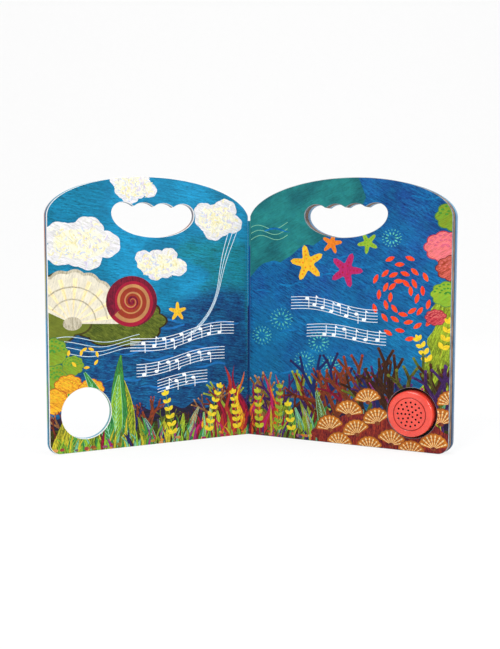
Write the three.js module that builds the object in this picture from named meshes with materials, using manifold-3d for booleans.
// A children's song book: thick board leaves with an arched top, a hand hole shaped for four fingers,
// and a round push button with a loudspeaker that stands through a hole in every leaf.
// It stands open on its bottom edge. The gutter is a vertical line, and both halves come forward from it.
// Each half is drawn in its own frame: x runs from the gutter to the fore-edge, y is the depth behind
// the page that shows, and z is up. The left half has the same outlines with x reversed.

import * as THREE from 'three';
import * as BufferGeometryUtils from 'three/addons/utils/BufferGeometryUtils.js';
import Module from 'manifold-3d';

const wasm = await Module();
wasm.setup();

// How far the book is open, in degrees between the two pages that show.
const OPEN_ANGLE = 123.6;

// Outline of a page.
const PAGE_WIDTH = 193;
const PAGE_HEIGHT = 240;
const SIDE_HEIGHT = 203;
const CORNER_RADIUS = 10;
const COVER_OVERHANG = 0.8;

// Board thicknesses, and the air between the leaves behind the button.
const LEAF_THICKNESS = 2;
const LEAF_GAP = 1;
const RIGHT_LEAVES = 3;
const FRONT_COVER_THICKNESS = 3;
const BACK_COVER_THICKNESS = 5.5;
const BINDING_WIDTH = 7;
const WRAP_THICKNESS = 0.5;

// Clearances: faces that rest on each other, the fold line, and the closed pages.
const SEAT_GAP = 0.3;
const FOLD_CLEARANCE = 0.15;
const PAGE_CLEARANCE = 0.2;
const RUNNING_GAP = 0.4;
const TOUCH_GAP = 0.1;

// Hand hole: four finger scallops above, half an ellipse below.
const HAND_HALF_WIDTH = 39.4;
const HAND_BELOW_TOP = 23;
const HAND_SHOULDER = 9.7;
const HAND_HEIGHT = 30.1;
const FINGER_COUNT = 4;
const FINGER_PITCH = 18.9;
const FINGER_RADIUS = 14;
const CUSP_RADIUS = 1.5;

// Round hole for the button, measured from the fore-edge and the bottom edge.
const BUTTON_FROM_FORE_EDGE = 32.8;
const BUTTON_FROM_BOTTOM = 33.8;
const BUTTON_HOLE_RADIUS = 22.3;

// Push button cap.
const CAP_RADIUS = 20;
const CAP_PROUD = 7.2;
const CAP_EDGE_RADIUS = 2;
const CAP_TOP_WALL = 1.6;
const CAP_WALL = 1.2;
const CAP_TRAVEL = 1.2;
const CAP_STOP_SPARE = 0.8;
const HOOK_HEIGHT = 1.8;
const GROOVE_RADIUS = 14.2;
const GROOVE_WIDTH = 1;
const GROOVE_DEPTH = 0.5;

// Loudspeaker holes: one in the middle and rings with five more holes each time.
const GRILLE_HOLE_RADIUS = 0.85;
const GRILLE_RING_PITCH = 3.5;
const GRILLE_RINGS = 3;
const GRILLE_RING_STEP = 5;

// Module base: a flange glued in the back of the back cover, and a tower that the cap slides over.
const FLANGE_RADIUS = 28.5;
const FLANGE_THICKNESS = 3.2;
const TOWER_WALL = 1.4;
const TOWER_RADIUS = 17.2;
const TOWER_ABOVE_FLOOR = 2.3;
const RIM_HEIGHT = 1.5;
const BASE_FLOOR = 0.8;

// Three button cells in one clover-shaped well, under a door with one screw.
const CELL_COUNT = 3;
const CELL_RADIUS = 5.8;
const CELL_HEIGHT = 3.1;
const CELL_CIRCLE = 7.4;
const WELL_CENTRE_RADIUS = 4;
const CONTACT_THICKNESS = 0.4;
const DOOR_RADIUS = 15.6;
const DOOR_THICKNESS = 1.7;
const DOOR_SCREW_CIRCLE = 12.6;
const DOOR_SCREW_RADIUS = 1.1;
const DOOR_SCREW_HEAD_RADIUS = 2.3;
const DOOR_SCREW_HEAD = 0.7;
const DOOR_SCREW_REACH = 3.4;

// Circuit board with its chip, push switch and two screws.
const BOARD_THICKNESS = 1;
const CHIP_RADIUS = 3.2;
const CHIP_HEIGHT = 1.2;
const CHIP_CIRCLE = 10.5;
const SWITCH_SIDE = 6;
const SWITCH_HEIGHT = 2;
const SWITCH_STEM_RADIUS = 1.2;
const SWITCH_STEM_GRIP = 0.5;
const BOARD_SCREW_CIRCLE = 13;
const BOARD_SCREW_RADIUS = 0.8;
const BOARD_SCREW_HEAD_RADIUS = 1.6;
const BOARD_SCREW_HEAD = 0.8;
const BOARD_SCREW_REACH = 2.8;

// Return spring round the switch.
const SPRING_RADIUS = 6.5;
const SPRING_WIRE_RADIUS = 0.25;
const SPRING_TURNS = 2.5;

// Loudspeaker, and the plate that holds it in the cap.
const SPEAKER_RADIUS = 14;
const SPEAKER_DEPTH = 3;
const SPEAKER_RIM_WIDTH = 2;
const SPEAKER_RIM_THICKNESS = 1;
const SPEAKER_WALL = 0.6;
const CONE_THROAT_RADIUS = 3;
const CONE_THICKNESS = 0.4;
const CONE_SURROUND = 2;
const MAGNET_RADIUS = 7.5;
const MAGNET_THICKNESS = 2;
const MAGNET_LIP = 1;
const RETAINER_THICKNESS = 0.8;
const RETAINER_BOSS_RADIUS = 2.3;
const RETAINER_BOSSES = 3;
const RETAINER_SCREW_RADIUS = 0.8;
const RETAINER_SCREW_HEAD_RADIUS = 1.5;
const RETAINER_SCREW_HEAD = 0.6;
const RETAINER_SCREW_REACH = 3;
const LEAD_RADIUS = 0.4;
const LEAD_CIRCLE = 12.2;
const LEAD_ANGLE = 120;
const LEAD_SPREAD = 20;
const LEAD_HOLE_RADIUS = 1.2;

// Smoothness of the round forms.
const CURVE_STEPS = 4;
const ARCH_STEPS = 36;
const HAND_STEPS = 4;
const HOLE_STEPS = 40;
const CAP_STEPS = 48;
const ROUND_STEPS = 24;
const SMALL_STEPS = 10;
const EDGE_STEPS = 5;
const DOME_STEPS = 3;
const WIRE_STEPS = 8;
const SPRING_TURN_STEPS = 16;

// How far a cutter passes the face that it opens, and how near two points count as one.
const OVERCUT = 1;
const SAME_POINT = 1e-3;
const SAME_CORNER = 1e-4;

// Places worked out from the sizes above.
const foldStart = FOLD_CLEARANCE;
const leafStart = foldStart + WRAP_THICKNESS + SEAT_GAP;
const leafFront = PAGE_CLEARANCE;
const leafPitch = LEAF_THICKNESS + LEAF_GAP;
const frontCoverFront = leafFront + LEAF_THICKNESS + SEAT_GAP;
const frontCoverBack = frontCoverFront + FRONT_COVER_THICKNESS;
const rightPagesBack = leafFront + RIGHT_LEAVES * leafPitch - LEAF_GAP;
const backCoverFront = rightPagesBack + SEAT_GAP;
const backCoverBack = backCoverFront + BACK_COVER_THICKNESS;
const coverWidth = PAGE_WIDTH + COVER_OVERHANG;
const handTop = PAGE_HEIGHT - HAND_BELOW_TOP;
const handWidest = handTop - HAND_SHOULDER;
const buttonX = PAGE_WIDTH - BUTTON_FROM_FORE_EDGE;
const buttonZ = BUTTON_FROM_BOTTOM;

const flangeFront = backCoverBack - FLANGE_THICKNESS;
const capTop = leafFront - CAP_PROUD;
const capCeiling = capTop + CAP_TOP_WALL;
const capInside = CAP_RADIUS - CAP_WALL;
const capEnd = flangeFront - CAP_TRAVEL - CAP_STOP_SPARE;
const hookFront = capEnd - HOOK_HEIGHT;
const rimBack = hookFront - SEAT_GAP;
const rimFront = rimBack - RIM_HEIGHT;
const rimRadius = capInside - RUNNING_GAP;
const hookInside = TOWER_RADIUS + RUNNING_GAP;

const doorBack = backCoverBack;
const doorFront = doorBack - DOOR_THICKNESS;
const backContactBack = doorFront - RUNNING_GAP;
const backContactFront = backContactBack - CONTACT_THICKNESS;
const cellBack = backContactFront - SEAT_GAP;
const cellFront = cellBack - CELL_HEIGHT;
const frontContactBack = cellFront - RUNNING_GAP;
const frontContactFront = frontContactBack - CONTACT_THICKNESS;
const wellFloor = frontContactFront - SEAT_GAP;
const baseFloor = wellFloor - BASE_FLOOR;
const towerFront = baseFloor - TOWER_ABOVE_FLOOR;
const towerInside = TOWER_RADIUS - TOWER_WALL;

const boardBack = baseFloor - SEAT_GAP;
const boardFront = boardBack - BOARD_THICKNESS;
const boardPartBack = boardFront - SEAT_GAP;
const switchFront = boardPartBack - SWITCH_HEIGHT;
const retainerBack = switchFront - CAP_TRAVEL - TOUCH_GAP;
const retainerFront = retainerBack - RETAINER_THICKNESS;
const retainerRadius = capInside - RUNNING_GAP;
const speakerFront = capCeiling + SEAT_GAP;
const speakerBack = speakerFront + SPEAKER_DEPTH;
const bossCircle = SPEAKER_RADIUS + SEAT_GAP + RETAINER_BOSS_RADIUS;

// Solid helpers.
function solidOf(geometry) {
  const bare = geometry.clone();
  bare.deleteAttribute('normal');
  bare.deleteAttribute('uv');
  const merged = BufferGeometryUtils.mergeVertices(bare, SAME_CORNER);
  const corners = Array.from(merged.index.array);
  const kept = [];
  for (let i = 0; i < corners.length; i += 3) {
    const [a, b, c] = corners.slice(i, i + 3);
    if (a !== b && b !== c && c !== a) {
      kept.push(a, b, c);
    }
  }
  return new wasm.Manifold(new wasm.Mesh({
    numProp: 3,
    vertProperties: Float32Array.from(merged.attributes.position.array),
    triVerts: Uint32Array.from(kept),
  }));
}

function geometryOf(solid) {
  const mesh = solid.getMesh();
  const geometry = new THREE.BufferGeometry();
  geometry.setAttribute('position', new THREE.BufferAttribute(Float32Array.from(mesh.vertProperties), 3));
  geometry.setIndex(new THREE.BufferAttribute(Uint32Array.from(mesh.triVerts), 1));
  geometry.computeVertexNormals();
  return geometry;
}

function joined(geometries) {
  const solids = geometries.map(solidOf);
  return geometryOf(solids.reduce((whole, next) => whole.add(next)));
}

function cut(geometry, tools) {
  const solids = tools.map(solidOf);
  return geometryOf(solids.reduce((whole, next) => whole.subtract(next), solidOf(geometry)));
}

function material(colour, roughness, metalness = 0) {
  return new THREE.MeshStandardMaterial({ color: colour, roughness, metalness });
}

function add(group, name, geometry, look) {
  const mesh = new THREE.Mesh(geometry, look);
  mesh.name = name;
  group.add(mesh);
  return mesh;
}

// A disc, or any round bar, along the depth axis.
function bar(radius, front, back, steps = ROUND_STEPS) {
  const geometry = new THREE.CylinderGeometry(radius, radius, back - front, steps);
  geometry.translate(0, (front + back) / 2, 0);
  return geometry;
}

// A profile of (radius, depth) points turned about the depth axis.
function turned(profile, steps = ROUND_STEPS) {
  return new THREE.LatheGeometry(profile.map(([r, y]) => new THREE.Vector2(r, y)), steps);
}

function placedOnCircle(geometry, radius, degrees) {
  const angle = THREE.MathUtils.degToRad(degrees);
  const moved = geometry.clone();
  moved.translate(radius * Math.cos(angle), 0, radius * Math.sin(angle));
  return moved;
}

function evenAngles(count, start = 0) {
  return Array.from({ length: count }, (_, i) => start + (i * 360) / count);
}

// Page outlines, in (x, z). The side is +1 for the right half and -1 for the left half.
function archPoints(width, start) {
  const half = width / 2;
  const rise = PAGE_HEIGHT - SIDE_HEIGHT;
  const end = Math.acos((start - half) / half);
  const arch = new THREE.EllipseCurve(half, SIDE_HEIGHT, half, rise, 0, end);
  return arch.getPoints(ARCH_STEPS);
}

function boardPoints(width, start) {
  const path = new THREE.Path();
  path.moveTo(start, 0);
  path.lineTo(width - CORNER_RADIUS, 0);
  path.absarc(width - CORNER_RADIUS, CORNER_RADIUS, CORNER_RADIUS, -Math.PI / 2, 0);
  return [...path.getPoints(CURVE_STEPS), ...archPoints(width, start)];
}

function handHolePoints() {
  const centre = PAGE_WIDTH / 2;
  const outer = ((FINGER_COUNT - 1) / 2) * FINGER_PITCH;
  const endWidth = HAND_HALF_WIDTH - outer;
  const fingerZ = handTop - FINGER_RADIUS;
  const reach = FINGER_RADIUS + CUSP_RADIUS;
  const slope = Math.acos(FINGER_PITCH / 2 / reach);
  const cuspZ = fingerZ + reach * Math.sin(slope);
  const path = new THREE.Path();
  const depth = HAND_HEIGHT - HAND_SHOULDER;
  path.absellipse(centre, handWidest, HAND_HALF_WIDTH, depth, 0, -Math.PI / 2, true);
  path.absellipse(centre, handWidest, HAND_HALF_WIDTH, depth, -Math.PI / 2, -Math.PI, true);
  path.absellipse(centre - outer, handWidest, endWidth, HAND_SHOULDER, Math.PI, Math.PI / 2, true);
  for (let i = 0; i < FINGER_COUNT; i += 1) {
    const fingerX = centre - outer + i * FINGER_PITCH;
    const from = i === 0 ? Math.PI / 2 : Math.PI - slope;
    const to = i === FINGER_COUNT - 1 ? Math.PI / 2 : slope;
    path.absarc(fingerX, fingerZ, FINGER_RADIUS, from, to, true);
    if (i < FINGER_COUNT - 1) {
      path.absarc(fingerX + FINGER_PITCH / 2, cuspZ, CUSP_RADIUS, Math.PI + slope, -slope, false);
    }
  }
  path.absellipse(centre + outer, handWidest, endWidth, HAND_SHOULDER, Math.PI / 2, 0, true);
  return path.getPoints(HAND_STEPS);
}

function circlePoints(x, z, radius, steps) {
  return new THREE.EllipseCurve(x, z, radius, radius, 0, 2 * Math.PI).getPoints(steps).slice(0, -1);
}

function withoutRepeats(points) {
  return points.filter((point, i) => point.distanceTo(points.at(i - 1)) > SAME_POINT);
}

// The mirrored points are put in reverse order, so that outlines and holes turn the same way on both sides.
function sided(points, side) {
  const placed = withoutRepeats(points).map((point) => new THREE.Vector2(side * point.x, point.y));
  return side < 0 ? placed.reverse() : placed;
}

// A board between two depths, with the hand hole and the button hole through it.
function board(side, width, start, front, back) {
  const shape = new THREE.Shape(sided(boardPoints(width, start), side));
  const round = circlePoints(buttonX, buttonZ, BUTTON_HOLE_RADIUS, HOLE_STEPS);
  shape.holes.push(new THREE.Path(sided(handHolePoints(), side)));
  shape.holes.push(new THREE.Path(sided(round, side)));
  const geometry = new THREE.ExtrudeGeometry(shape, { depth: back - front, bevelEnabled: false });
  geometry.rotateX(Math.PI / 2);
  geometry.translate(0, back, 0);
  return geometry;
}

// An upright strip next to the gutter, as high as the spine.
function spineStrip(side, start, end, front, back) {
  const geometry = new THREE.BoxGeometry(end - start, back - front, SIDE_HEIGHT);
  geometry.translate(side * (start + end) / 2, (front + back) / 2, SIDE_HEIGHT / 2);
  return geometry;
}

// A cover is one board whose paper wrap folds forward over the spine edge of the leaves.
function cover(side, front, back) {
  const plate = board(side, coverWidth, foldStart, front, back);
  const wrap = spineStrip(side, foldStart, foldStart + WRAP_THICKNESS, leafFront, front + WRAP_THICKNESS);
  return joined([plate, wrap]);
}

function leftPages() {
  return board(-1, PAGE_WIDTH, leafStart, leafFront, leafFront + LEAF_THICKNESS);
}

function rightPages() {
  const leaves = [];
  for (let i = 0; i < RIGHT_LEAVES; i += 1) {
    const front = leafFront + i * leafPitch;
    leaves.push(board(1, PAGE_WIDTH, leafStart, front, front + LEAF_THICKNESS));
  }
  const glued = spineStrip(1, leafStart, BINDING_WIDTH, leafFront, rightPagesBack);
  return joined([...leaves, glued]);
}

function backCover() {
  const recess = bar(
    FLANGE_RADIUS + SEAT_GAP,
    flangeFront - SEAT_GAP,
    backCoverBack + OVERCUT,
    HOLE_STEPS,
  );
  recess.translate(buttonX, 0, buttonZ);
  return cut(cover(1, backCoverFront, backCoverBack), [recess]);
}

// Module pieces, turned about the button's own axis.
function capProfile() {
  const profile = [[0, capTop]];
  profile.push([GROOVE_RADIUS - GROOVE_WIDTH / 2, capTop]);
  profile.push([GROOVE_RADIUS, capTop + GROOVE_DEPTH]);
  profile.push([GROOVE_RADIUS + GROOVE_WIDTH / 2, capTop]);
  for (let i = 0; i <= EDGE_STEPS; i += 1) {
    const angle = (i / EDGE_STEPS) * (Math.PI / 2);
    const r = CAP_RADIUS - CAP_EDGE_RADIUS * (1 - Math.sin(angle));
    profile.push([r, capTop + CAP_EDGE_RADIUS * (1 - Math.cos(angle))]);
  }
  profile.push([CAP_RADIUS, capEnd]);
  profile.push([hookInside, capEnd]);
  profile.push([hookInside, hookFront]);
  profile.push([capInside, hookFront]);
  profile.push([capInside, capCeiling]);
  profile.push([0, capCeiling]);
  return profile;
}

function grilleHoles() {
  const hole = bar(GRILLE_HOLE_RADIUS, capTop - OVERCUT, capCeiling + OVERCUT, SMALL_STEPS);
  const holes = [hole];
  for (let ring = 1; ring <= GRILLE_RINGS; ring += 1) {
    for (const angle of evenAngles(ring * GRILLE_RING_STEP, 180)) {
      holes.push(placedOnCircle(hole, ring * GRILLE_RING_PITCH, angle));
    }
  }
  return holes;
}

function buttonCap() {
  const bossBack = retainerFront - SEAT_GAP;
  const boss = bar(RETAINER_BOSS_RADIUS, capCeiling - CAP_TOP_WALL / 2, bossBack, SMALL_STEPS);
  const bore = bar(
    RETAINER_SCREW_RADIUS + SEAT_GAP,
    bossBack - RETAINER_SCREW_REACH,
    bossBack + OVERCUT,
    SMALL_STEPS,
  );
  const angles = evenAngles(RETAINER_BOSSES);
  const bosses = angles.map((angle) => placedOnCircle(boss, bossCircle, angle));
  const bores = angles.map((angle) => placedOnCircle(bore, bossCircle, angle));
  return cut(joined([turned(capProfile(), CAP_STEPS), ...bosses]), [...bores, ...grilleHoles()]);
}

// Three discs and a middle disc, which join into one clover.
function clover(lobeRadius, centreRadius, front, back) {
  const lobe = bar(lobeRadius, front, back);
  const lobes = evenAngles(CELL_COUNT).map((angle) => placedOnCircle(lobe, CELL_CIRCLE, angle));
  return joined([bar(centreRadius, front, back), ...lobes]);
}

const doorScrewAngle = 180 / CELL_COUNT;
const boardScrewAngles = evenAngles(CELL_COUNT, doorScrewAngle).slice(1);

function moduleBase() {
  const body = turned([
    [0, baseFloor],
    [towerInside, baseFloor],
    [towerInside, towerFront],
    [TOWER_RADIUS, towerFront],
    [TOWER_RADIUS, rimFront],
    [rimRadius, rimFront],
    [rimRadius, rimBack],
    [TOWER_RADIUS, rimBack],
    [TOWER_RADIUS, flangeFront],
    [FLANGE_RADIUS, flangeFront],
    [FLANGE_RADIUS, backCoverBack],
    [0, backCoverBack],
  ], HOLE_STEPS);
  const well = clover(CELL_RADIUS + SEAT_GAP, WELL_CENTRE_RADIUS, wellFloor, backCoverBack);
  const doorSeat = bar(
    DOOR_RADIUS + SEAT_GAP,
    doorFront - SEAT_GAP,
    backCoverBack + OVERCUT,
    HOLE_STEPS,
  );
  const doorBore = bar(
    DOOR_SCREW_RADIUS + SEAT_GAP,
    doorFront - SEAT_GAP - DOOR_SCREW_REACH - SEAT_GAP,
    backCoverBack,
    SMALL_STEPS,
  );
  const boardBore = bar(
    BOARD_SCREW_RADIUS + SEAT_GAP,
    baseFloor - OVERCUT,
    baseFloor + BOARD_SCREW_REACH,
    SMALL_STEPS,
  );
  return cut(body, [
    well,
    doorSeat,
    placedOnCircle(doorBore, DOOR_SCREW_CIRCLE, doorScrewAngle),
    ...boardScrewAngles.map((angle) => placedOnCircle(boardBore, BOARD_SCREW_CIRCLE, angle)),
  ]);
}

function batteryDoor() {
  const headSeat = bar(
    DOOR_SCREW_HEAD_RADIUS + SEAT_GAP,
    doorBack - DOOR_SCREW_HEAD - SEAT_GAP - TOUCH_GAP,
    doorBack + OVERCUT,
    SMALL_STEPS,
  );
  const bore = bar(DOOR_SCREW_RADIUS + SEAT_GAP, doorFront - OVERCUT, doorBack, SMALL_STEPS);
  return cut(bar(DOOR_RADIUS, doorFront, doorBack, HOLE_STEPS), [
    placedOnCircle(headSeat, DOOR_SCREW_CIRCLE, doorScrewAngle),
    placedOnCircle(bore, DOOR_SCREW_CIRCLE, doorScrewAngle),
  ]);
}

// A pan-head screw. Its shank points from the head towards the sign given.
function screw(headRadius, headHeight, shankRadius, reach, headFace, direction) {
  const inner = headFace + direction * headHeight;
  const tip = inner + direction * reach;
  const head = bar(headRadius, Math.min(headFace, inner), Math.max(headFace, inner), SMALL_STEPS);
  const start = headFace + (direction * headHeight) / 2;
  const shank = bar(shankRadius, Math.min(start, tip), Math.max(start, tip), SMALL_STEPS);
  return joined([head, shank]);
}

function circuitBoard() {
  const bore = bar(
    BOARD_SCREW_RADIUS + SEAT_GAP,
    boardFront - OVERCUT,
    boardBack + OVERCUT,
    SMALL_STEPS,
  );
  const bores = boardScrewAngles.map((angle) => placedOnCircle(bore, BOARD_SCREW_CIRCLE, angle));
  return cut(bar(towerInside - RUNNING_GAP, boardFront, boardBack), bores);
}

function soundChip() {
  const profile = [];
  for (let i = 0; i <= DOME_STEPS; i += 1) {
    const angle = (i / DOME_STEPS) * (Math.PI / 2);
    profile.push([CHIP_RADIUS * Math.sin(angle), boardPartBack - CHIP_HEIGHT * Math.cos(angle)]);
  }
  profile.push([0, boardPartBack]);
  return turned(profile);
}

function switchBody() {
  const block = new THREE.BoxGeometry(SWITCH_SIDE, SWITCH_HEIGHT, SWITCH_SIDE);
  block.translate(0, switchFront + SWITCH_HEIGHT / 2, 0);
  const bore = bar(
    SWITCH_STEM_RADIUS + SEAT_GAP,
    switchFront - OVERCUT,
    boardPartBack + OVERCUT,
    SMALL_STEPS,
  );
  return cut(block, [bore]);
}

class Helix extends THREE.Curve {
  constructor(radius, start, end, turns) {
    super();
    this.radius = radius;
    this.start = start;
    this.end = end;
    this.turns = turns;
  }

  getPoint(t, target = new THREE.Vector3()) {
    const angle = 2 * Math.PI * this.turns * t;
    const depth = this.start + (this.end - this.start) * t;
    return target.set(this.radius * Math.cos(angle), depth, this.radius * Math.sin(angle));
  }
}

function wire(radius, path, steps) {
  const section = new THREE.Shape(circlePoints(0, 0, radius, WIRE_STEPS));
  return new THREE.ExtrudeGeometry(section, { steps, extrudePath: path, bevelEnabled: false });
}

function returnSpring() {
  const seat = SEAT_GAP + SPRING_WIRE_RADIUS;
  const path = new Helix(SPRING_RADIUS, retainerBack + seat, boardFront - seat, SPRING_TURNS);
  return wire(SPRING_WIRE_RADIUS, path, Math.round(SPRING_TURN_STEPS * SPRING_TURNS));
}

// Loudspeaker: a pressed frame, a paper cone in front of it and a magnet behind it.
function speakerFrame() {
  const rimInside = SPEAKER_RADIUS - SPEAKER_RIM_WIDTH;
  const rimBackFace = speakerFront + SPEAKER_RIM_THICKNESS;
  const throat = MAGNET_RADIUS - MAGNET_LIP;
  return turned([
    [rimInside, speakerFront],
    [SPEAKER_RADIUS, speakerFront],
    [SPEAKER_RADIUS, rimBackFace],
    [rimInside, rimBackFace],
    [MAGNET_RADIUS + SPEAKER_WALL, speakerBack],
    [throat, speakerBack],
    [throat, speakerBack - SPEAKER_WALL],
    [MAGNET_RADIUS, speakerBack - SPEAKER_WALL],
    [rimInside - SPEAKER_WALL, rimBackFace],
    [rimInside - SPEAKER_WALL, speakerFront],
    [rimInside, speakerFront],
  ], HOLE_STEPS);
}

function speakerCone() {
  const edge = SPEAKER_RADIUS - SPEAKER_RIM_WIDTH - SPEAKER_WALL - SEAT_GAP;
  const front = speakerFront + SEAT_GAP;
  const throat = speakerBack - SPEAKER_WALL - SEAT_GAP - CONE_THICKNESS;
  return turned([
    [0, throat - CONE_THICKNESS],
    [CONE_THROAT_RADIUS, throat],
    [edge - CONE_SURROUND, front],
    [edge, front],
    [edge, front + CONE_THICKNESS],
    [edge - CONE_SURROUND, front + CONE_THICKNESS],
    [CONE_THROAT_RADIUS, throat + CONE_THICKNESS],
    [0, throat + CONE_THICKNESS],
  ]);
}

function speakerMagnet() {
  const front = speakerBack + SEAT_GAP;
  return bar(MAGNET_RADIUS, front, front + MAGNET_THICKNESS);
}

const leadAngles = [LEAD_ANGLE - LEAD_SPREAD / 2, LEAD_ANGLE + LEAD_SPREAD / 2];

function speakerRetainer() {
  const from = retainerFront - OVERCUT;
  const to = retainerBack + OVERCUT;
  const bore = bar(RETAINER_SCREW_RADIUS + SEAT_GAP, from, to, SMALL_STEPS);
  const leadHole = bar(LEAD_HOLE_RADIUS, from, to, SMALL_STEPS);
  return cut(bar(retainerRadius, retainerFront, retainerBack, HOLE_STEPS), [
    ...evenAngles(RETAINER_BOSSES).map((angle) => placedOnCircle(bore, bossCircle, angle)),
    ...leadAngles.map((angle) => placedOnCircle(leadHole, LEAD_CIRCLE, angle)),
  ]);
}

function speakerLead() {
  const front = speakerFront + SPEAKER_RIM_THICKNESS + SEAT_GAP;
  return bar(LEAD_RADIUS, front, boardPartBack, SMALL_STEPS);
}

// Looks.
const printedBoard = material(0x2a8fb5, 0.45);
const coverBoard = material(0x1f6f9f, 0.4);
const redPlastic = material(0xf0453c, 0.35);
const darkPlastic = material(0x26262b, 0.5);
const greenBoard = material(0x2c6b3c, 0.5);
const blackResin = material(0x111113, 0.4);
const steel = material(0xb9bcc0, 0.35, 1);
const magnetSteel = material(0x55585c, 0.5, 1);
const paperCone = material(0x2b2b2d, 0.9);
const insulation = material(0xb02020, 0.5);

// Left half: the front cover with one leaf.
const leftBlock = new THREE.Group();
leftBlock.rotation.z = THREE.MathUtils.degToRad((180 - OPEN_ANGLE) / 2);
add(leftBlock, 'front_cover', cover(-1, frontCoverFront, frontCoverBack), coverBoard);
add(leftBlock, 'left_pages', leftPages(), printedBoard);

// Right half: three leaves and the back cover that carries the sound module.
const rightBlock = new THREE.Group();
rightBlock.rotation.z = -THREE.MathUtils.degToRad((180 - OPEN_ANGLE) / 2);
add(rightBlock, 'right_pages', rightPages(), printedBoard);
add(rightBlock, 'back_cover', backCover(), coverBoard);

const soundModule = new THREE.Group();
soundModule.position.set(buttonX, 0, buttonZ);
rightBlock.add(soundModule);

add(soundModule, 'module_base', moduleBase(), darkPlastic);
add(soundModule, 'button_cap', buttonCap(), redPlastic);
add(soundModule, 'speaker_frame', speakerFrame(), steel);
add(soundModule, 'speaker_cone', speakerCone(), paperCone);
add(soundModule, 'speaker_magnet', speakerMagnet(), magnetSteel);
add(soundModule, 'speaker_retainer', speakerRetainer(), darkPlastic);
add(soundModule, 'circuit_board', circuitBoard(), greenBoard);
add(soundModule, 'sound_chip', placedOnCircle(soundChip(), CHIP_CIRCLE, doorScrewAngle), blackResin);
add(soundModule, 'switch_body', switchBody(), blackResin);
add(
  soundModule,
  'switch_stem',
  bar(SWITCH_STEM_RADIUS, retainerBack + SEAT_GAP, switchFront + SWITCH_STEM_GRIP, SMALL_STEPS),
  redPlastic,
);
add(soundModule, 'return_spring', returnSpring(), steel);

const contactLobe = CELL_RADIUS - RUNNING_GAP;
const contactCentre = WELL_CENTRE_RADIUS - RUNNING_GAP;
const frontContact = clover(contactLobe, contactCentre, frontContactFront, frontContactBack);
const backContact = clover(contactLobe, contactCentre, backContactFront, backContactBack);
add(soundModule, 'front_contact', frontContact, steel);
add(soundModule, 'back_contact', backContact, steel);
evenAngles(CELL_COUNT).forEach((angle, i) => {
  const cell = bar(CELL_RADIUS, cellFront, cellBack);
  add(soundModule, `button_cell_${i + 1}`, placedOnCircle(cell, CELL_CIRCLE, angle), steel);
});

add(soundModule, 'battery_door', batteryDoor(), darkPlastic);
const doorScrew = screw(
  DOOR_SCREW_HEAD_RADIUS,
  DOOR_SCREW_HEAD,
  DOOR_SCREW_RADIUS,
  doorBack - doorFront - DOOR_SCREW_HEAD + DOOR_SCREW_REACH,
  doorBack - TOUCH_GAP,
  -1,
);
add(soundModule, 'door_screw', placedOnCircle(doorScrew, DOOR_SCREW_CIRCLE, doorScrewAngle), steel);

const boardScrew = screw(
  BOARD_SCREW_HEAD_RADIUS,
  BOARD_SCREW_HEAD,
  BOARD_SCREW_RADIUS,
  BOARD_SCREW_REACH,
  boardPartBack - BOARD_SCREW_HEAD,
  1,
);
boardScrewAngles.forEach((angle, i) => {
  add(soundModule, `board_screw_${i + 1}`, placedOnCircle(boardScrew, BOARD_SCREW_CIRCLE, angle), steel);
});

const retainerScrew = screw(
  RETAINER_SCREW_HEAD_RADIUS,
  RETAINER_SCREW_HEAD,
  RETAINER_SCREW_RADIUS,
  RETAINER_SCREW_REACH,
  retainerBack + SEAT_GAP + RETAINER_SCREW_HEAD,
  -1,
);
evenAngles(RETAINER_BOSSES).forEach((angle, i) => {
  add(soundModule, `retainer_screw_${i + 1}`, placedOnCircle(retainerScrew, bossCircle, angle), steel);
});

leadAngles.forEach((angle, i) => {
  add(soundModule, `speaker_lead_${i + 1}`, placedOnCircle(speakerLead(), LEAD_CIRCLE, angle), insulation);
});

// The origin is under the middle of the book, on the surface that it stands on.
const songBook = new THREE.Group();
songBook.add(leftBlock, rightBlock);
const bounds = new THREE.Box3().setFromObject(songBook, true);
const middle = bounds.getCenter(new THREE.Vector3());
songBook.position.set(-middle.x, -middle.y, -bounds.min.z);

export default songBook;
